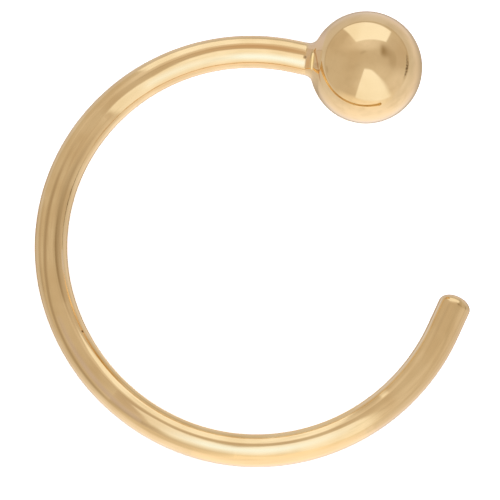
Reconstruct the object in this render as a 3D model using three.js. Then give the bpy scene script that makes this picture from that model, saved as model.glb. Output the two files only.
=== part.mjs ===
import * as THREE from 'three';
import { mergeVertices } from 'three/addons/utils/BufferGeometryUtils.js';

// Ball hoop earring: an open hoop of round wire with a domed tip and a ball soldered on.
// Millimetres, +Z up. It lies by itself on the floor z = 0, on its ball and on the wire
// across from it, and is centred over the origin.

// Wire
const WIRE_D = 1.02; // 18 gauge, the size that passes through an ear piercing
const WIRE_R = WIRE_D / 2;
const TIP_DOME = 0.65 * WIRE_R; // height of the low dome on the wire's free end
const TIP_STRAIGHT = 1.17; // straight end before the bend starts, with the dome

// Hoop: the turns that bend the wire, from its tip round to the ball. Each one has its
// angle in degrees and its radius to the centre line as a share of HOOP_R. The uneven
// shares make the slight oval of a hoop that is opened and closed by hand.
const HOOP_R = 6.3;
const TURNS = [
  { angle: 40, share: 1.003 },
  { angle: 50, share: 0.997 },
  { angle: 50, share: 1.049 },
  { angle: 50, share: 0.955 },
  { angle: 50, share: 0.978 },
  { angle: 18, share: 1.01 },
];

// Ball and the solder round the wire at its foot
const BALL_D = 3.5;
const BALL_R = BALL_D / 2;
const BALL_OUTSET = 0.13; // the ball's centre lies this far outside the wire's line
const SOLDER_R = 0.3; // hollow radius of the solder neck
const BALL_STRAIGHT = 0.37; // straight wire between the last turn and the solder

// Fineness of the surface
const SIDES = 28; // round the wire and the ball
const BEND_STEP = 2.0; // degrees of bend between two rings
const DOME_STEPS = 6;
const SOLDER_STEPS = 5;
const BALL_STEPS = 22;

const GOLD = { color: 0xe3bf83, roughness: 0.12, metalness: 1.0 };

const radians = THREE.MathUtils.degToRad;

// How far before the ball's centre the solder starts, measured along the wire.
const neckReach = Math.sqrt((BALL_R + SOLDER_R) ** 2 - (WIRE_R + SOLDER_R - BALL_OUTSET) ** 2);

// Centre line of the wire, a flat curve that starts at the tip and ends beside the ball's
// centre. at(length) gives the point there and the direction in which the wire runs.
function centreLine() {
  const runs = [{ length: TIP_STRAIGHT, bend: 0 }];
  for (const { angle, share } of TURNS) {
    const radius = HOOP_R * share;
    runs.push({ length: radians(angle) * radius, bend: -1 / radius });
  }
  runs.push({ length: BALL_STRAIGHT + neckReach, bend: 0 });

  let start = 0;
  let point = new THREE.Vector2(0, 0);
  let heading = 0;
  for (const run of runs) {
    Object.assign(run, { start, point, heading });
    const end = onRun(run, run.length);
    start += run.length;
    point = end.point;
    heading = end.heading;
  }

  const at = (length) => {
    const run = runs.findLast((one) => one.start <= length) ?? runs[0];
    return onRun(run, length - run.start);
  };
  return { length: start, at, bends: runs.slice(1, -1) };
}

function onRun(run, along) {
  const turned = run.bend * along;
  const chord = run.bend === 0 ? along : (2 * Math.sin(turned / 2)) / run.bend;
  const aim = run.heading + turned / 2;
  const point = new THREE.Vector2(Math.cos(aim), Math.sin(aim));
  return { point: point.multiplyScalar(chord).add(run.point), heading: run.heading + turned };
}

// Profile of the earring as if the wire ran straight up Y: dome, wire, solder and ball.
// The rows of the solder and the ball are only counted here; seatBall places them.
function straightProfile(line) {
  const points = [new THREE.Vector2(0, 0)];
  for (let i = 1; i <= DOME_STEPS; i++) {
    const t = (i / DOME_STEPS) * (Math.PI / 2);
    points.push(new THREE.Vector2(WIRE_R * Math.sin(t), TIP_DOME * (1 - Math.cos(t))));
  }
  for (const run of line.bends) {
    const rings = Math.ceil(THREE.MathUtils.radToDeg(-run.bend * run.length) / BEND_STEP);
    for (let i = 0; i < rings; i++) {
      points.push(new THREE.Vector2(WIRE_R, run.start + (run.length * i) / rings));
    }
  }
  points.push(new THREE.Vector2(WIRE_R, line.length - neckReach - BALL_STRAIGHT));
  for (let i = 0; i <= SOLDER_STEPS + BALL_STEPS; i++) {
    points.push(new THREE.Vector2(WIRE_R, line.length - neckReach));
  }
  return points;
}

// Places the solder and the ball on the straight shape, whose X points into the hoop. On
// every side the solder's hollow is an arc of SOLDER_R that touches both wire and ball.
function seatBall(geometry, rows, line) {
  const position = geometry.attributes.position;
  const ball = new THREE.Vector3(-BALL_OUTSET, line.length, 0);
  const pole = new THREE.Vector3(0, 1, 0);
  for (let side = 0; side <= SIDES; side++) {
    const angle = (side / SIDES) * 2 * Math.PI;
    const out = new THREE.Vector3(Math.sin(angle), 0, Math.cos(angle));
    const hollow = out.clone().multiplyScalar(WIRE_R + SOLDER_R).setY(ball.y);
    const across = hollow.distanceTo(ball);
    hollow.y -= Math.sqrt((BALL_R + SOLDER_R) ** 2 - across ** 2);
    const toBall = ball.clone().sub(hollow).normalize();
    for (let i = 0; i <= SOLDER_STEPS + BALL_STEPS; i++) {
      const onBall = i - SOLDER_STEPS;
      const place = onBall <= 0
        ? swing(out.clone().negate(), toBall, i / SOLDER_STEPS).multiplyScalar(SOLDER_R).add(hollow)
        : swing(toBall.clone().negate(), pole, onBall / BALL_STEPS).multiplyScalar(BALL_R).add(ball);
      const row = rows - 1 - SOLDER_STEPS - BALL_STEPS + i;
      position.setXYZ(side * rows + row, place.x, place.y, place.z);
    }
  }
}

// Unit direction a share of the way from one unit direction to another.
function swing(from, to, share) {
  const angle = from.angleTo(to);
  const start = Math.sin((1 - share) * angle) / Math.sin(angle);
  const end = Math.sin(share * angle) / Math.sin(angle);
  return from.clone().multiplyScalar(start).addScaledVector(to, end);
}

// Lays the straight turned shape along the centre line, in the plane z = 0.
function bendAlong(geometry, line) {
  const position = geometry.attributes.position;
  for (let i = 0; i < position.count; i++) {
    const length = THREE.MathUtils.clamp(position.getY(i), 0, line.length);
    const past = position.getY(i) - length;
    const inward = position.getX(i);
    const { point, heading } = line.at(length);
    const cos = Math.cos(heading);
    const sin = Math.sin(heading);
    position.setX(i, point.x + past * cos + inward * sin);
    position.setY(i, point.y + past * sin - inward * cos);
  }
}

// Direction, seen from the flat hoop, that points up when it lies by itself. It touches the
// floor with the ball and with the lowest wire point across from it, and it rolls on these
// two until its centre of mass is as low as it goes.
function upWhenResting(line) {
  const end = line.at(line.length);
  const ball = new THREE.Vector2(-Math.sin(end.heading), Math.cos(end.heading));
  ball.multiplyScalar(BALL_OUTSET).add(end.point);
  const wire = [];
  const samples = 400;
  for (let i = 0; i <= samples; i++) {
    wire.push(line.at((line.length * i) / samples).point);
  }
  const wireVolume = Math.PI * WIRE_R ** 2 * line.length;
  const ballVolume = (4 / 3) * Math.PI * BALL_R ** 3;
  const centre = new THREE.Vector2();
  for (const point of wire) {
    centre.addScaledVector(point, wireVolume / wire.length);
  }
  centre.addScaledVector(ball, ballVolume).divideScalar(wireVolume + ballVolume);

  let best = { drop: -Infinity };
  for (let turn = 0; turn < 360; turn += 0.25) {
    const side = new THREE.Vector2(Math.cos(radians(turn)), Math.sin(radians(turn)));
    const reach = side.dot(ball) - Math.min(...wire.map((point) => side.dot(point)));
    const drop = (side.dot(ball) - side.dot(centre)) / reach;
    if (reach > BALL_R && drop > best.drop) {
      best = { drop, side, reach };
    }
  }
  const lean = Math.asin((BALL_R - WIRE_R) / best.reach);
  const flat = best.side.multiplyScalar(Math.sin(lean));
  return new THREE.Vector3(flat.x, flat.y, Math.cos(lean));
}

// Turn about the vertical that sets the tip at the right and the ball at the upper right.
const TIP_HEADING = -114.9;

function ballHoop() {
  const line = centreLine();
  const profile = straightProfile(line);
  const geometry = new THREE.LatheGeometry(profile, SIDES);
  seatBall(geometry, profile.length, line);
  bendAlong(geometry, line);
  geometry.deleteAttribute('normal');
  geometry.deleteAttribute('uv');

  const up = upWhenResting(line);
  const turn = radians(TIP_HEADING);
  up.applyAxisAngle(new THREE.Vector3(0, 0, 1), turn);
  geometry.rotateZ(turn);
  const lay = new THREE.Quaternion().setFromUnitVectors(up, new THREE.Vector3(0, 0, 1));
  geometry.applyQuaternion(lay);

  geometry.computeBoundingBox();
  const box = geometry.boundingBox;
  const middle = box.getCenter(new THREE.Vector3());
  geometry.translate(-middle.x, -middle.y, -box.min.z);
  const solid = mergeVertices(geometry, 1e-5);
  solid.computeVertexNormals();
  return solid;
}

const earring = new THREE.Group();
const hoop = new THREE.Mesh(ballHoop(), new THREE.MeshStandardMaterial(GOLD));
hoop.name = 'ball_hoop';
earring.add(hoop);

export default earring;
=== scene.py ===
import math

import bpy
import numpy as np
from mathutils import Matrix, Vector


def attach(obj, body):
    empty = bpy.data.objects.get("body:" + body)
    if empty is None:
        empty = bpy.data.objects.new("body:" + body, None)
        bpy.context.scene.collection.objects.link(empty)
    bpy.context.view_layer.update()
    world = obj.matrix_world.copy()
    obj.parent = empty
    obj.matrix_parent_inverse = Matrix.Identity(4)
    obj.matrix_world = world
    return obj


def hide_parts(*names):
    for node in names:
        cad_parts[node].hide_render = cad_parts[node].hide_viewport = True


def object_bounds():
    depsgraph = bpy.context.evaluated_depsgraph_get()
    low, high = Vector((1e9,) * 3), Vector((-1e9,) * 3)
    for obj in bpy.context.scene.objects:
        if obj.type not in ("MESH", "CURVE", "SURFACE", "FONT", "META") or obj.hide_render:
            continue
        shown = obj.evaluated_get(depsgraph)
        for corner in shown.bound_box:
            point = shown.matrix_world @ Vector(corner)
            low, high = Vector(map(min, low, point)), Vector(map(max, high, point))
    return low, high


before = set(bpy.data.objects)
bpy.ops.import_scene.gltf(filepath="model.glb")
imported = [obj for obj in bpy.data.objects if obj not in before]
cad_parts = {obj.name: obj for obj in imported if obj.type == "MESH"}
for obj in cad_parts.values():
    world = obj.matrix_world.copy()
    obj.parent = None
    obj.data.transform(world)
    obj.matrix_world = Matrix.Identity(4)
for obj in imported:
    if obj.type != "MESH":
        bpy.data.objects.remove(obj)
cad_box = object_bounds()

MM = 0.001
TINY = 1e-9  # keeps a division from failing on a length of nothing

# Sizes of the earring in millimetres, as in the frame. Each turn of the hoop has its angle in
# degrees and its radius as a share of HOOP_R.
WIRE_R = 0.51
TIP_DOME = 0.65 * WIRE_R
TIP_STRAIGHT = 1.17
HOOP_R = 6.3
TURNS = [(40, 1.003), (50, 0.997), (50, 1.049), (50, 0.955), (50, 0.978), (18, 1.01)]
BALL_R = 1.75
BALL_OUTSET = 0.13
SOLDER_R = 0.3
BALL_STRAIGHT = 0.37
TIP_HEADING = math.radians(-114.9)

# Fineness of the mesh
SIDES = 112
SIDE_ANGLES = np.arange(SIDES) / SIDES * 2 * math.pi
WIRE_STEP = 0.075
SOLDER_GAP = 0.02  # least distance from the last ring of the bare wire to the solder
DOME_STEPS = 22
SOLDER_STEPS = 20
BALL_STEPS = 96

# Fineness of the search for how it lies: points along the wire, and degrees between directions
REST_POINTS = 401
REST_STEP = 0.25

# Hand finishing leaves the wire a little off round. Its surface leans by these degrees to the
# outside of the hoop, at angles measured outwards from the upper side, and from place to place
# along the wire in millimetres.
LEAN_ANGLES = (-95, -68, -58, -50, -44, -22, -13, -4, 18, 28, 62, 96)
LEANS = [
    (2.5, (0, 0, 0, 0, 0, 0, 0, 0, 0, 0, 0, 0)),
    (4.5, (10, 14, 9, 2, -2, -4, 17, 18, 19, 16, 8, 0)),
    (8.0, (10, 14, 9, 2, -2, -4, 18, 19, 23, 21, 8, 0)),
    (11.5, (10, 14, 9, 2, -2, -4, 18, 19, 20, 14, 6, 0)),
    (13.5, (10, 14, 9, 2, -2, -4, 10, 10, 8, 6, 3, 0)),
    (15.5, (0, 0, 0, 0, 0, 0, 0, 0, 0, 0, 0, 0)),
    (23.0, (0, 0, 0, 0, 0, -2, -3, -3, 0, 0, 0, 0)),
    (26.0, (0, 0, 0, 0, 0, -7, -10, -10, -1, 0, 0, 0)),
    (27.0, (0, 0, 0, 0, 0, -8, -12, -14, -5, 0, 0, 0)),
    (29.91, (0, 0, 0, 0, 0, -8, -12, -15, -5, 0, 0, 0)),
    (29.93, (0, 0, 0, 0, 0, -4, -10, -14, -20, 0, 0, 0)),
    (30.15, (0, 0, 0, 0, 0, -4, -10, -14, -20, 0, 0, 0)),
    (30.18, (0, 0, 0, 0, 0, 0, 0, 0, 0, 0, 0, 0)),
]
# It also leans along the wire, towards the ball, by these degrees on its inner and outer side at
# places along the wire. The sides meet at this angle and blend over so many degrees.
ALONG_MEET = -17
ALONG_BLEND = 12
ALONG_LEANS = [
    (3.0, 0, 0), (3.55, 0, -2), (3.8, -7, -4), (4.0, -7, -4), (4.3, 0, -4), (6.0, 0, 0),
    (9.0, 0, -1), (10.5, 0, -8), (11.8, 3, -11), (13.5, 4, -4), (14.8, 6, 0), (16.5, 6, 0),
    (20.0, 7, 0), (22.7, 4, -2), (23.5, -5, -4), (24.4, -6, 0), (25.0, -5, 3), (25.8, -2, 2),
    (27.0, 2, 0), (28.0, 5, 2), (29.826, 11, 4), (29.9, 24, 16), (29.915, 0, 0),
]

# Collar of solder at the foot of the ball: how far past the end of the bare wire it starts, at
# which angle, and how much sooner for each degree outwards from there. Then how far past its
# start each stretch of it reaches, in millimetres, with the degrees that it slopes there.
COLLAR_START = 0.07
COLLAR_START_ANGLE = -14
COLLAR_SKEW = 0.0013
COLLAR = [(0.0, 14), (0.2, 24), (0.285, 34), (0.55, 40)]
# Degrees added to its slope on the outer side, and the factor that makes it steeper on the inner
# side, each between two angles
COLLAR_OUTER = ((5, 20), (0, 16))
COLLAR_INNER = ((-42, -32), (1.35, 1))
# Its middle, half its turn round the wire and the degrees over which it fades at its ends
COLLAR_ANGLE = -4
COLLAR_TURN = 84
COLLAR_FADE = 10
# Low ridge across it: its place, half its width and its slope, then its turn as for the collar
RIDGE_AT = 0.235
RIDGE_HALF = 0.045
RIDGE_SLOPE = -8
RIDGE_ANGLE = -12
RIDGE_TURN = 29
RIDGE_FADE = 6


# Centre line of the wire, from its tip to its end beside the ball's centre. The solder starts
# NECK_REACH before that end.

NECK_REACH = math.sqrt((BALL_R + SOLDER_R) ** 2 - (WIRE_R + SOLDER_R - BALL_OUTSET) ** 2)


def centre_runs():
    """Length and bend of each run of the centre line."""
    runs = [(TIP_STRAIGHT, 0.0)]
    for angle, share in TURNS:
        radius = HOOP_R * share
        runs.append((math.radians(angle) * radius, -1.0 / radius))
    runs.append((BALL_STRAIGHT + NECK_REACH, 0.0))
    return runs


RUNS = centre_runs()
LINE_LENGTH = sum(length for length, _ in RUNS)
WIRE_END = LINE_LENGTH - NECK_REACH


def step_on_run(bend, along, heading):
    """Step from the start of a run to the point a length along it."""
    turned = bend * along
    chord = along if bend == 0 else 2 * np.sin(turned / 2) / bend
    aim = heading + turned / 2
    return np.stack([chord * np.cos(aim), chord * np.sin(aim)], -1)


def centre_at(lengths):
    """Points and headings of the centre line at an array of lengths from the tip."""
    lengths = np.asarray(lengths, float)
    points = np.zeros(lengths.shape + (2,))
    headings = np.zeros(lengths.shape)
    start, corner, heading = 0.0, np.zeros(2), 0.0
    for run, bend in RUNS:
        here = lengths >= start
        along = lengths[here] - start
        points[here] = corner + step_on_run(bend, along, heading)
        headings[here] = heading + bend * along
        corner = corner + step_on_run(bend, run, heading)
        heading += bend * run
        start += run
    return points, headings


# Fine mesh

def unit(vectors):
    return vectors / np.maximum(np.linalg.norm(vectors, axis=-1, keepdims=True), TINY)


def swing(a, b, share):
    """Unit vectors a share of the way from a to b."""
    angle = np.arccos(np.clip((a * b).sum(-1, keepdims=True), -1, 1))
    return (a * np.sin((1 - share) * angle) + b * np.sin(share * angle)) / np.sin(angle)


def straight_rings():
    """Rings of the earring as if its wire ran up Y, with X into the hoop, the last point of the
    ball, and the count of rings before the solder."""
    out = np.stack([np.sin(SIDE_ANGLES), np.zeros(SIDES), np.cos(SIDE_ANGLES)], -1)
    rings = []
    for i in range(1, DOME_STEPS):
        t = i / DOME_STEPS * math.pi / 2
        ring = out * WIRE_R * math.sin(t)
        ring[:, 1] = TIP_DOME * (1 - math.cos(t))
        rings.append(ring)
    count = int((WIRE_END - TIP_DOME) / WIRE_STEP)
    for i in range(count):
        ring = out * WIRE_R
        ring[:, 1] = TIP_DOME + (WIRE_END - SOLDER_GAP - TIP_DOME) * i / (count - 1)
        rings.append(ring)
    solder_start = len(rings)

    ball = np.array([-BALL_OUTSET, LINE_LENGTH, 0.0])
    hollow = out * (WIRE_R + SOLDER_R)
    across = np.hypot(hollow[:, 0] - ball[0], hollow[:, 2])
    hollow[:, 1] = ball[1] - np.sqrt((BALL_R + SOLDER_R) ** 2 - across ** 2)
    to_ball = unit(ball - hollow)
    for i in range(SOLDER_STEPS + 1):
        rings.append(hollow + SOLDER_R * swing(-out, to_ball, i / SOLDER_STEPS))
    pole = np.array([0.0, 1.0, 0.0])
    for i in range(1, BALL_STEPS):
        rings.append(ball + BALL_R * swing(-to_ball, pole, i / BALL_STEPS))
    return np.array(rings), ball + BALL_R * pole, solder_start


def lay_along(points):
    """Bends straight-run points along the centre line, flat in z = 0."""
    length = np.clip(points[..., 1], 0, LINE_LENGTH)
    past = points[..., 1] - length
    place, heading = centre_at(length)
    cos, sin = np.cos(heading), np.sin(heading)
    x = place[..., 0] + past * cos + points[..., 0] * sin
    y = place[..., 1] + past * sin - points[..., 0] * cos
    return np.stack([x, y, points[..., 2]], -1)


def along_and_round(straight):
    """Unit directions along the wire and round it to its outside, bent as the points are."""
    length = np.clip(straight[:, 1], 0, LINE_LENGTH)
    _, heading = centre_at(length)
    cos, sin, zero = np.cos(heading), np.sin(heading), np.zeros(len(heading))
    radius = np.hypot(straight[:, 0], straight[:, 2]) + TINY
    inward, up = straight[:, 0] / radius, straight[:, 2] / radius
    along = np.stack([cos, sin, zero], -1)
    outward_round = np.stack([-up * sin, up * cos, inward], -1)
    return lay_on_floor(along), lay_on_floor(outward_round)


def up_when_resting():
    """Direction, seen from the flat hoop, that points up when it lies by itself. It touches the
    floor with the ball and with the lowest wire point across from it, and it rolls on these two
    until its centre of mass is as low as it goes."""
    end, heading = centre_at([LINE_LENGTH])
    ball = end[0] + BALL_OUTSET * np.array([-math.sin(heading[0]), math.cos(heading[0])])
    wire, _ = centre_at(np.linspace(0, LINE_LENGTH, REST_POINTS))
    wire_volume = math.pi * WIRE_R ** 2 * LINE_LENGTH
    ball_volume = 4 / 3 * math.pi * BALL_R ** 3
    centre = (wire.mean(0) * wire_volume + ball * ball_volume) / (wire_volume + ball_volume)
    turns = np.radians(np.arange(0, 360, REST_STEP))
    sides = np.stack([np.cos(turns), np.sin(turns)], -1)
    reach = sides @ ball - (sides @ wire.T).min(1)
    drop = np.where(reach > BALL_R, sides @ (ball - centre) / reach, -np.inf)
    best = drop.argmax()
    lean = math.asin((BALL_R - WIRE_R) / reach[best])
    return np.array([*(sides[best] * math.sin(lean)), math.cos(lean)])


def turn_z(points, angle):
    c, s = math.cos(angle), math.sin(angle)
    return points @ np.array([[c, s, 0], [-s, c, 0], [0, 0, 1]])


def lay_on_floor(points):
    """Turns points or directions of the flat hoop as it lies, with its tip at the right."""
    up = Vector(turn_z(up_when_resting(), TIP_HEADING))
    lay = np.array(up.rotation_difference(Vector((0, 0, 1))).to_matrix())
    return turn_z(points, TIP_HEADING) @ lay.T


# Finished surface

def fades(values, middle, half, soft):
    """1 round the middle, falling over the soft width to 0 at half the whole width from it."""
    return np.clip((half - abs(values - middle)) / soft, 0, 1)


def outward_lean(length, angle):
    """Degrees by which the surface leans to the outside of the hoop."""
    places, rows = zip(*LEANS)
    columns = [np.interp(length, places, column) for column in zip(*rows)]
    lean = np.zeros(len(length))
    for i in range(len(LEAN_ANGLES) - 1):
        low, high = LEAN_ANGLES[i], LEAN_ANGLES[i + 1]
        share = (angle - low) / (high - low)
        here = (share >= 0) & (share < 1)
        lean[here] = ((1 - share) * columns[i] + share * columns[i + 1])[here]
    return lean


def along_lean(length, angle):
    """Degrees by which the surface leans towards the ball, less and less to the underside."""
    places, inner, outer = zip(*ALONG_LEANS)
    side = np.clip(0.5 + (angle - ALONG_MEET) / ALONG_BLEND, 0, 1)
    lean = (1 - side) * np.interp(length, places, inner) + side * np.interp(length, places, outer)
    return lean * np.cos(np.radians(angle / 2))


def collar_slope(past, angle):
    """Degrees by which the collar slopes at lengths past its start."""
    slope = np.interp(past, *zip(*COLLAR))
    slope += np.interp(angle, *COLLAR_OUTER)
    slope *= np.interp(angle, *COLLAR_INNER)
    ridge = fades(past, RIDGE_AT, RIDGE_HALF, RIDGE_HALF / 2)
    ridge *= fades(angle, RIDGE_ANGLE, RIDGE_TURN, RIDGE_FADE)
    return slope + ridge * (RIDGE_SLOPE - slope)


def finished_normals(mesh, straight):
    """Normals of the mesh, leaning as the hand finished wire and its collar of solder do."""
    normals = np.empty(len(straight) * 3)
    mesh.vertex_normals.foreach_get("vector", normals)
    normals = normals.reshape(-1, 3)
    length = straight[:, 1]
    angle = np.degrees(np.arctan2(-straight[:, 0], straight[:, 2]))
    along, outward = along_and_round(straight)
    normals += np.tan(np.radians(outward_lean(length, angle)))[:, None] * outward
    normals += np.tan(np.radians(along_lean(length, angle)))[:, None] * along
    normals = unit(normals)

    past = length - WIRE_END - COLLAR_START + COLLAR_SKEW * (angle - COLLAR_START_ANGLE)
    slope = np.radians(collar_slope(past, angle))[:, None]
    across = unit(normals - (normals * along).sum(1, keepdims=True) * along)
    collar = np.cos(slope) * across - np.sin(slope) * along
    share = fades(angle, COLLAR_ANGLE, COLLAR_TURN, COLLAR_FADE)
    share *= (past > 0) & (past < COLLAR[-1][0])
    return unit(normals + share[:, None] * (collar - normals))


def ring_faces(rows):
    """Quads between the rings, and triangles that close the tip and the ball."""
    faces = []
    for r in range(rows - 1):
        a, b = 1 + r * SIDES, 1 + (r + 1) * SIDES
        for s in range(SIDES):
            t = (s + 1) % SIDES
            faces.append((a + s, a + t, b + t, b + s))
    last = 1 + (rows - 1) * SIDES
    for s in range(SIDES):
        t = (s + 1) % SIDES
        faces.append((0, 1 + t, 1 + s))
        faces.append((last + s, last + t, last + SIDES))
    return faces


def add_attribute(mesh, name, kind, field, values):
    attribute = mesh.attributes.new(name, kind, "POINT")
    attribute.data.foreach_set(field, values.astype(np.float32).ravel())


def add_wire_attributes(mesh, length, rows, solder_start):
    """How far along and round the wire each point lies, in millimetres, for marks that follow
    the wire, and how much of it is ball."""
    inward = np.concatenate([[0], np.tile(np.sin(SIDE_ANGLES), rows), [0]])
    up = np.concatenate([[0], np.tile(np.cos(SIDE_ANGLES), rows), [0]])
    places = np.stack([length, inward * WIRE_R, up * WIRE_R], -1)
    add_attribute(mesh, "wire_coord", "FLOAT_VECTOR", "vector", places)
    shares = np.clip((np.arange(rows) - solder_start) / SOLDER_STEPS, 0, 1)
    shares = np.concatenate([[0], np.repeat(shares, SIDES), [1]])
    add_attribute(mesh, "ball_share", "FLOAT", "value", shares)


def earring_mesh():
    rings, pole, solder_start = straight_rings()
    straight = np.vstack([[[0, 0, 0]], rings.reshape(-1, 3), [pole]])
    points = lay_on_floor(lay_along(straight))
    low, high = points.min(0), points.max(0)
    box = np.array(cad_box) / MM
    points -= [*((low + high) / 2 - box.mean(0))[:2], low[2]]

    mesh = bpy.data.meshes.new("gold_ball_hoop")
    mesh.from_pydata((points * MM).tolist(), [], ring_faces(len(rings)))
    mesh.validate()
    mesh.polygons.foreach_set("use_smooth", [True] * len(mesh.polygons))
    mesh.normals_split_custom_set_from_vertices(finished_normals(mesh, straight))
    add_wire_attributes(mesh, straight[:, 1], len(rings), solder_start)
    return mesh


# Node helpers

class Nodes:
    """Node tree of a material or world. An input is given as a value or as an output socket."""

    def __init__(self, owner):
        owner.use_nodes = True
        owner.node_tree.nodes.clear()
        self.tree = owner.node_tree

    def add(self, kind, inputs=None, **settings):
        node = self.tree.nodes.new(kind)
        for key, value in settings.items():
            setattr(node, key, value)
        for key, value in (inputs or {}).items():
            if isinstance(value, bpy.types.NodeSocket):
                self.tree.links.new(value, node.inputs[key])
            else:
                node.inputs[key].default_value = value
        return node

    def calc(self, operation, a, b=0.0):
        return self.add("ShaderNodeMath", {0: a, 1: b}, operation=operation).outputs[0]

    def times(self, product, *factors):
        for factor in factors:
            product = self.calc("MULTIPLY", product, factor)
        return product

    def noise(self, vector, scale, detail, roughness):
        inputs = {"Vector": vector, "Scale": scale, "Detail": detail, "Roughness": roughness}
        return self.add("ShaderNodeTexNoise", inputs).outputs["Fac"]

    def ramp(self, value, low, high, out_low=0.0, out_high=1.0):
        """Smooth step between two outputs as the value goes from low to high."""
        inputs = {"Value": value, "From Min": low, "From Max": high,
                  "To Min": out_low, "To Max": out_high}
        node = self.add("ShaderNodeMapRange", inputs, interpolation_type="SMOOTHSTEP")
        return node.outputs["Result"]

    def curve(self, value, points):
        """Smooth curve through (input, output) pairs."""
        (first, *_), (last, *_) = points[0], points[-1]
        outputs = [output for _, output in points]
        low, high = min(outputs), max(outputs)
        share = self.add("ShaderNodeMapRange", {"Value": value, "From Min": first, "From Max": last})
        node = self.add("ShaderNodeFloatCurve", {"Value": share.outputs["Result"]})
        knots = node.mapping.curves[0].points
        for _ in points[2:]:
            knots.new(0.5, 0.5)
        for knot, (place, output) in zip(knots, points):
            knot.location = ((place - first) / (last - first), (output - low) / (high - low or 1))
        node.mapping.update()
        inputs = {"Value": node.outputs[0], "To Min": low, "To Max": high}
        return self.add("ShaderNodeMapRange", inputs).outputs["Result"]

    def mix(self, share, a, b):
        """Colour a share of the way from a to b, each a socket or its red, green and blue."""
        a, b = ((*value, 1) if isinstance(value, tuple) else value for value in (a, b))
        return self.add("ShaderNodeMix", {0: share, 6: a, 7: b}, data_type="RGBA").outputs[2]

    def bump(self, height, strength, depth, **onto):
        """Normal for a height with its depth in metres, onto another normal if one is given."""
        inputs = {"Height": height, "Strength": strength, "Distance": depth, **onto}
        return self.add("ShaderNodeBump", inputs).outputs[0]

    def for_camera(self, seen, mirrored):
        """Shader that the camera sees, with another one for what is mirrored."""
        camera_ray = self.add("ShaderNodeLightPath").outputs["Is Camera Ray"]
        inputs = {0: camera_ray, 1: mirrored.outputs[0], 2: seen.outputs[0]}
        return self.add("ShaderNodeMixShader", inputs).outputs[0]


# Polished gold

DEEP_GOLD = (0.82, 0.58, 0.265)
PALE_GOLD = (0.89, 0.655, 0.32)
WORN_GOLD = (0.72, 0.49, 0.215)
# Scale, detail and roughness of each noise. The streaks follow the wire, stretched by these
# factors along it, inwards and upwards, in millimetres. The others are in metres.
STREAK_STRETCH = (0.45, 9.0, 9.0)
STREAK_NOISE = (1.0, 4.0, 0.6)
SOFT_NOISE = (900.0, 2.0, 0.5)
FINE_NOISE = (6500.0, 3.0, 0.65)
# Between which values each noise is spread, and what it then goes from and to
TONE_SPREAD = (0.3, 0.7, 0.0, 1.0)
WORN_SPREAD = (0.45, 0.8, 0.0, 0.75)
WIRE_ROUGHNESS = (0.35, 0.75, 0.07, 0.16)
BALL_ROUGHNESS = (0.35, 0.7, 0.035, 0.07)
# Strength and depth in metres of the drawing marks, the polishing waves and the grain
STREAK_BUMP = (0.25, 6e-6)
WAVE_BUMP = (0.3, 8e-6)
GRAIN_BUMP = (0.1, 8e-7)

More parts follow.
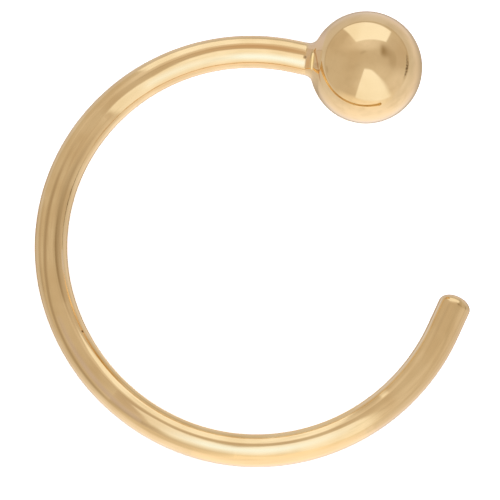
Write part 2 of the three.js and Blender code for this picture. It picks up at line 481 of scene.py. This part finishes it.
# Lengthwise bands in the wire's colour, most of them painted highlights, reflections and shade.
# Each has its strength and its angle from the upper side at places along the wire in millimetres,
# its half width in degrees and its colour.
LIGHT_AND_TONE_BANDS = [
    # painted highlight along the crest
    ([(5, 0), (7, 0.6), (8.5, 0.85), (10.5, 0.7), (12.5, 0), (24, 0), (25.3, 0.5), (26.8, 0.4),
      (28.2, 1), (29.85, 1), (29.95, 0)],
     [(5, 5), (12.5, 2), (24, -27), (30, -26)], 19, (0.89, 0.79, 0.49)),
    # painted reflections, paler along the outer and the inner edge, with two narrow painted
    # highlights
    ([(5, 0), (6.5, 1), (9.3, 1), (10.3, 0)], [(5, 50), (10.3, 50)], 34, (0.97, 0.69, 0.315)),
    ([(4.5, 0), (6, 1), (13, 1), (17, 0.6), (22, 0.6), (24, 0)], [(4.5, -76), (24, -78)], 24,
     (1.0, 0.75, 0.38)),
    ([(0.2, 0), (0.4, 0.8), (4, 0.8), (5, 0)], [(0.2, -57), (5, -57)], 7, (1.0, 0.82, 0.55)),
    ([(14.5, 0), (15.5, 0.8), (17.5, 0.8), (18.3, 0)], [(14.5, -45), (18.3, -49)], 7,
     (1.0, 0.82, 0.55)),
    ([(24.5, 0), (26, 0.9), (29.8, 0.9), (30, 0)], [(24.5, 72), (30, 70)], 22,
     (1.0, 0.75, 0.38)),
    # painted dark reflections in lines on the outer side
    ([(9, 0), (10.8, 0.5), (12.3, 0.65), (14.8, 0.9), (17.3, 1), (19.5, 1), (21, 0.5),
      (22.2, 0)],
     [(9, 28), (10.8, 36), (13, 37), (15, 34), (16.3, 29), (17.5, 19.5), (19.3, 12.7), (22, 12)],
     10, (0.60, 0.41, 0.175)),
    ([(9, 0), (10.3, 0.9), (12, 1), (13.2, 0)], [(9, 24), (13.2, 28)], 18,
     (0.63, 0.44, 0.20)),
    ([(17, 0), (17.8, 0.5), (19, 0.5), (19.8, 0)], [(17, 40), (19.8, 37)], 9,
     (0.66, 0.46, 0.20)),
    # painted shade: broad darker stretches of the inner side, and near the tip
    ([(16.5, 0), (18.3, 0.8), (20, 0.8), (21.5, 0.5), (23, 0)],
     [(16.5, -26), (18.8, -29), (20, -23), (21.3, -32), (23, -36)], 19, (0.70, 0.50, 0.23)),
    ([(0.2, 0.6), (1.5, 0.5), (3.4, 0.7), (4.8, 0)], [(0.2, 18), (1, 20), (1.8, 34), (4.8, 43)],
     13, (0.68, 0.48, 0.21)),
    ([(0.2, 0), (0.7, 0.5), (1.6, 0.2), (2.2, 0)], [(0.2, -16), (2.2, -18)], 9,
     (0.70, 0.50, 0.23)),
    ([(0.2, 0.9), (3.4, 0.9), (4.8, 0)], [(0.2, 62), (4.8, 66)], 38, (0.73, 0.51, 0.235)),
    # painted reflection: a greyer stretch on the outer side
    ([(12, 0), (13.3, 0.8), (15, 0.7), (16.2, 0)], [(12, 20), (16.2, 14)], 15,
     (0.83, 0.61, 0.37)),
    # painted shade that darkens the ends of the bright sides
    ([(10, 0), (11.5, 0.7), (12.6, 1), (13.2, 0)], [(10, 0), (13.2, -4)], 24,
     (0.74, 0.51, 0.235)),
    ([(22.9, 0), (23.2, 0.7), (24.7, 0)], [(22.9, -22), (24.7, -22)], 44, (0.76, 0.53, 0.24)),
    # painted reflection of gold in gold: deeper gold between the two bright sides near the ball
    ([(25, 0), (27, 0.6), (28.3, 1), (29.7, 0.7), (29.9, 0)], [(25, 6), (28, 10), (30, 10)], 16,
     (0.85, 0.52, 0.21)),
    # and the same painted reflection along the inner side
    ([(23, 0), (25, 0.6), (28, 0.9), (29.7, 0.8), (29.9, 0)], [(23, -54), (30, -54)], 12,
     (0.85, 0.57, 0.27)),
    # solder, with a redder, a darker and a yellower stretch
    ([(29.88, 0), (29.92, 1), (30.3, 1), (30.4, 0)], [(29.8, 30), (30.4, 30)], 90,
     (0.87, 0.62, 0.34)),
    ([(29.93, 0), (29.98, 1), (30.02, 1), (30.07, 0)], [(29.9, -25), (30.1, -25)], 42,
     (0.88, 0.56, 0.24)),
    ([(30.02, 0), (30.06, 1), (30.09, 0)], [(30, 6), (30.1, 6)], 24, (0.66, 0.50, 0.24)),
    ([(30.06, 0), (30.1, 1), (30.16, 1), (30.2, 0)], [(30, -12), (30.2, -12)], 45,
     (0.93, 0.66, 0.26)),
]

# Pits, painted as dark spots of shade: the place along the wire, the angle from the upper side, the
# radius and the strength, which is full over the middle share of the radius
PITS = [(15.43, -45.2, 0.055, 1.0), (29.88, -4, 0.055, 0.6)]
PIT_MIDDLE = 0.4
PIT_SHADE = (0.3, 0.19, 0.08)

# Seam where the solder runs out on the ball: how far it lies past the bare wire, and how much
# less for each degree outwards, in millimetres. It comes up from none to full between the two
# distances from its line, and between the two turns in degrees from its middle.
SEAM_AT = 0.41
SEAM_SKEW = 0.0079
SEAM_EDGE = (0.04, 0.015)
SEAM_MIDDLE = -12.0
SEAM_ENDS = (31.0, 20.0)
SEAM_COLOUR = (0.74, 0.44, 0.18)


def marks_and_painted_light(n, wire, colour):
    """The colour with the bands, pits and seam that lie at places along and round the wire: most
    bands are painted highlights, reflections and shade, and the pits are painted shade.
    """
    length, inward, up = n.add("ShaderNodeSeparateXYZ", {0: wire}).outputs
    angle = n.calc("ARCTAN2", n.times(inward, -1.0), up)
    angle = n.times(angle, math.degrees(1))
    for strengths, angles, half_width, tint in LIGHT_AND_TONE_BANDS:
        off = n.calc("ABSOLUTE", n.calc("SUBTRACT", angle, n.curve(length, angles)))
        share = n.times(n.ramp(off, half_width, 0.0), n.curve(length, strengths))
        colour = n.mix(share, colour, tint)
    for at, side, radius, strength in PITS:
        side = math.radians(side)
        spot = (at, -math.sin(side) * WIRE_R, math.cos(side) * WIRE_R)
        far = n.add("ShaderNodeVectorMath", {0: wire, 1: spot}, operation="DISTANCE")
        share = n.ramp(far.outputs["Value"], radius, radius * PIT_MIDDLE, 0.0, strength)
        colour = n.mix(share, colour, PIT_SHADE)
    askew = n.calc("ADD", length, n.times(angle, SEAM_SKEW))
    off = n.calc("ABSOLUTE", n.calc("SUBTRACT", askew, WIRE_END + SEAM_AT))
    turn = n.calc("ABSOLUTE", n.calc("SUBTRACT", angle, SEAM_MIDDLE))
    seam = n.times(n.ramp(off, *SEAM_EDGE), n.ramp(turn, *SEAM_ENDS))
    return n.mix(seam, colour, SEAM_COLOUR)


def gold_material():
    material = bpy.data.materials.new("polished_gold")
    n = Nodes(material)
    place = n.add("ShaderNodeTexCoord").outputs["Object"]
    wire = n.add("ShaderNodeAttribute", attribute_name="wire_coord").outputs["Vector"]
    ball = n.add("ShaderNodeAttribute", attribute_name="ball_share").outputs["Fac"]
    on_wire = n.calc("SUBTRACT", 1.0, ball)

    # drawing and polishing marks that run along the wire
    along = n.add("ShaderNodeVectorMath", {0: wire, 1: STREAK_STRETCH}, operation="MULTIPLY")
    streak = n.noise(along.outputs[0], *STREAK_NOISE)
    # hand polishing leaves a soft unevenness everywhere, and a fine grain
    soft = n.noise(place, *SOFT_NOISE)
    fine = n.noise(place, *FINE_NOISE)

    tone = n.mix(n.ramp(soft, *TONE_SPREAD), DEEP_GOLD, PALE_GOLD)
    worn = n.times(n.ramp(streak, *WORN_SPREAD), on_wire)
    colour = marks_and_painted_light(n, wire, n.mix(worn, tone, WORN_GOLD))
    wire_rough = n.ramp(streak, *WIRE_ROUGHNESS)
    ball_rough = n.ramp(fine, *BALL_ROUGHNESS)
    rough = n.add("ShaderNodeMix", {0: ball, 2: wire_rough, 3: ball_rough}).outputs[0]
    normal = n.bump(n.times(streak, on_wire), *STREAK_BUMP)
    normal = n.bump(soft, *WAVE_BUMP, Normal=normal)
    normal = n.bump(fine, *GRAIN_BUMP, Normal=normal)
    shader = n.add("ShaderNodeBsdfPrincipled", {"Base Color": colour, "Metallic": 1.0,
                                                "Roughness": rough, "Normal": normal})
    n.add("ShaderNodeOutputMaterial", {"Surface": shader.outputs[0]})
    return material


# Studio

ROOM = (0.68, 0.635, 0.65)
SWEEP = (0.73, 0.72, 0.82)
# The sweep ends a little below the hoop, at this angle from straight up, with a soft edge from
# just above to just below, as cosines
HORIZON = 94.5
HORIZON_EDGE = (0.01, -0.03)
# Darker line along it: half its width as a cosine, and between which cosines it comes up from
# the front to the back, from no strength to its full one
LINE_COLOUR = (0.50, 0.44, 0.38)
LINE_HALF = 0.05
LINE_SPREAD = (-0.6, 0.0, 0.0, 0.5)

# Softboxes far away, as the directions of their corners from the hoop, each with the softness
# of the edge that runs on to the next corner. Each has a faint glow past its edges.
SOFTBOX_BACK = [((-0.56, 1, -0.07), 0.03), ((-0.53, 1, 1.13), 0.03), ((0.92, 1, 0.87), 0.03),
                ((0.69, 1, 0.04), 0.01)]
SOFTBOX_FRONT = [((0.84, -1, -0.12), 0.1), ((0.83, -1, 1.46), 0.05), ((0.49, -1, 2.83), 0.05),
                 ((-0.31, -1, 3.2), 0.025), ((-0.35, -1, 0.13), 0.05)]
SOFTBOX_LIGHT = (1.12, 1.19, 1.43)
GLOW_REACH = 0.16
GLOW_STRENGTH = 0.16

# Soft lighter and darker places of the room and the sweep, their angles and sizes in degrees.
# Each shows only on its own side, and comes up over this cosine.
PATCH_RISE = 0.1
PATCHES = [
    # azimuth, zenith, half width, half height, strength, colour
    # a painted pool of light on the sweep in front of the hoop
    (275, 140, 89, 62, 0.9, (1.2, 1.19, 1.37)),
    (30, 138, 55, 34, 0.5, (1.02, 0.96, 1.08)),
    # painted shadow of the earring on the sweep beneath it, towards the back
    (90, 164, 80, 30, 0.9, (0.46, 0.39, 0.28)),
    (285, 60, 75, 60, 0.35, (1.0, 0.98, 1.1)),
    (268, 96, 62, 20, 0.9, (1.16, 1.13, 1.2)),
    (95, 45, 55, 28, 0.4, (1.1, 1.1, 1.3)),
    (90, 29, 24, 13, 0.12, (1.1, 1.1, 1.3)),
    (335, 90, 28, 40, 0.35, (1.1, 1.1, 1.3)),
    (20, 60, 50, 35, 0.5, (0.62, 0.57, 0.59)),
    (8, 54, 22, 12, 0.35, (0.42, 0.36, 0.30)),
    (115, 18, 9, 4, 0.35, (0.45, 0.40, 0.36)),
    (183, 90, 8, 4, 0.3, (0.30, 0.24, 0.20)),
]
# Dark things that stand in a row beyond the sweep at the right, within a patch of this place and
# size, by a noise and its spread
ROW_PATCH = (1, 91, 23, 4.5)
ROW_NOISE = (30.0, 1.0, 0.5)
ROW_SPREAD = (0.38, 0.52, 0.0, 1.0)
ROW_COLOUR = (0.12, 0.09, 0.06)
# A dark doorway, as the directions of its corners and the softness of its edges
DOORWAY = [((0.45, 0.53, 0.72), 0.09), ((0.46, 0.20, 0.86), 0.14),
           ((0.67, 0.15, 0.72), 0.2), ((0.64, 0.47, 0.61), 0.16)]
DOORWAY_COLOUR = (0.36, 0.29, 0.22)
DOORWAY_STRENGTH = 0.9
# Nothing in the room is quite even, by a noise and its spread
UNEVEN_NOISE = (3.0, 3.0, 0.55)
UNEVEN_SPREAD = (0.45, 0.7, 0.0, 0.2)
UNEVEN_COLOUR = (0.52, 0.47, 0.45)


def direction(azimuth, zenith):
    """Unit vector at an azimuth from +X towards +Y and an angle from straight up, in degrees."""
    azimuth, zenith = math.radians(azimuth), math.radians(zenith)
    across = math.sin(zenith)
    return Vector((across * math.cos(azimuth), across * math.sin(azimuth), math.cos(zenith)))


def room_colour(n):
    """Colour of the surroundings in every direction."""
    way = n.add("ShaderNodeTexCoord").outputs["Generated"]

    def along(vector):
        dot = n.add("ShaderNodeVectorMath", {0: way, 1: vector}, operation="DOT_PRODUCT")
        return dot.outputs["Value"]

    def window(corners, glow=0.0):
        """1 within the corners, with edges that the glow widens."""
        edges = []
        for (corner, soft), (after, _) in zip(corners, corners[1:] + corners[:1]):
            edge = Vector(corner).cross(Vector(after)).normalized()
            edges.append(n.ramp(along(edge), -soft - glow, soft + glow))
        return n.times(*edges)

    def patch(azimuth, zenith, wide, high):
        """1 in the middle of an ellipse, falling to 0 at its rim."""
        side = along(direction(azimuth + 90, 90) / math.sin(math.radians(wide)))
        up = along(direction(azimuth, zenith + 90) / math.sin(math.radians(high)))
        far = n.calc("ADD", n.times(side, side), n.times(up, up))
        ahead = n.ramp(along(direction(azimuth, zenith)), 0.0, PATCH_RISE)
        return n.times(n.ramp(far, 1.0, 0.0), ahead)

    height = along((0, 0, 1))
    horizon = math.cos(math.radians(HORIZON))
    above, below = HORIZON_EDGE
    colour = n.mix(n.ramp(height, horizon + above, horizon + below), ROOM, SWEEP)
    for *ellipse, strength, tint in PATCHES:
        colour = n.mix(n.times(patch(*ellipse), strength), colour, tint)
    line = n.times(n.ramp(height, horizon - LINE_HALF, horizon),
                   n.ramp(height, horizon + LINE_HALF, horizon),
                   n.ramp(along((0, 1, 0)), *LINE_SPREAD))
    colour = n.mix(line, colour, LINE_COLOUR)
    row = n.times(n.ramp(n.noise(way, *ROW_NOISE), *ROW_SPREAD), patch(*ROW_PATCH))
    colour = n.mix(row, colour, ROW_COLOUR)
    uneven = n.ramp(n.noise(way, *UNEVEN_NOISE), *UNEVEN_SPREAD)
    colour = n.mix(uneven, colour, UNEVEN_COLOUR)
    colour = n.mix(n.times(window(DOORWAY), DOORWAY_STRENGTH), colour, DOORWAY_COLOUR)
    for corners in (SOFTBOX_BACK, SOFTBOX_FRONT):
        glow = n.times(window(corners, GLOW_REACH), GLOW_STRENGTH)
        colour = n.mix(glow, colour, SOFTBOX_LIGHT)
        colour = n.mix(window(corners), colour, SOFTBOX_LIGHT)
    return colour


def surroundings():
    """White to the camera, and the room to what mirrors it."""
    world = bpy.data.worlds.new("studio")
    bpy.context.scene.world = world
    n = Nodes(world)
    room = n.add("ShaderNodeBackground", {"Color": room_colour(n), "Strength": 1.0})
    sky = n.add("ShaderNodeBackground", {"Color": (1, 1, 1, 1), "Strength": 1.0})
    n.add("ShaderNodeOutputWorld", {"Surface": n.for_camera(sky, room)})


# Half the floor's width in metres, and its brightness
FLOOR_HALF = 4
FLOOR_WHITE = 2.2


def pale_floor():
    """Floor as the camera sees it. The gold mirrors the sweep of the surroundings instead."""
    mesh = bpy.data.meshes.new("floor")
    corners = ((-1, -1), (1, -1), (1, 1), (-1, 1))
    mesh.from_pydata([(x * FLOOR_HALF, y * FLOOR_HALF, 0) for x, y in corners], [], [(0, 1, 2, 3)])
    floor = bpy.data.objects.new("floor", mesh)
    bpy.context.collection.objects.link(floor)
    material = bpy.data.materials.new("pale_floor")
    n = Nodes(material)
    clear = n.add("ShaderNodeBsdfTransparent")
    matt = n.add("ShaderNodeBsdfDiffuse", {"Color": (FLOOR_WHITE, FLOOR_WHITE, FLOOR_WHITE, 1)})
    n.add("ShaderNodeOutputMaterial", {"Surface": n.for_camera(matt, clear)})
    mesh.materials.append(material)


# Camera: the photograph's view, from above and a little from the front

CAMERA_ELEVATION = math.radians(77.75)
CAMERA_TARGET = Vector((-0.04, -0.32, 1.0)) * MM
CAMERA_DISTANCE = 129.35 * MM
# Lens and sensor in millimetres, and the nearest and farthest that it sees in metres
LENS = 300
SENSOR_WIDTH = 36
CLIP_START = 0.005
CLIP_END = 20


def camera():
    back = Vector((0, -math.cos(CAMERA_ELEVATION), math.sin(CAMERA_ELEVATION)))
    data = bpy.data.cameras.new("camera")
    data.lens = LENS
    data.sensor_width = SENSOR_WIDTH
    data.clip_start = CLIP_START
    data.clip_end = CLIP_END
    obj = bpy.data.objects.new("camera", data)
    bpy.context.collection.objects.link(obj)
    obj.location = CAMERA_TARGET + back * CAMERA_DISTANCE
    obj.rotation_euler = back.to_track_quat("Z", "Y").to_euler()
    bpy.context.scene.camera = obj


camera()
surroundings()
pale_floor()

mesh = earring_mesh()
mesh.materials.append(gold_material())
hoop = bpy.data.objects.new("gold_ball_hoop", mesh)
bpy.context.collection.objects.link(hoop)
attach(hoop, "root")
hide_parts("ball_hoop")

scene = bpy.context.scene
scene.view_settings.view_transform = "Standard"
scene.view_settings.look = "None"
scene.view_settings.exposure = 0.0
scene.view_settings.gamma = 1.0
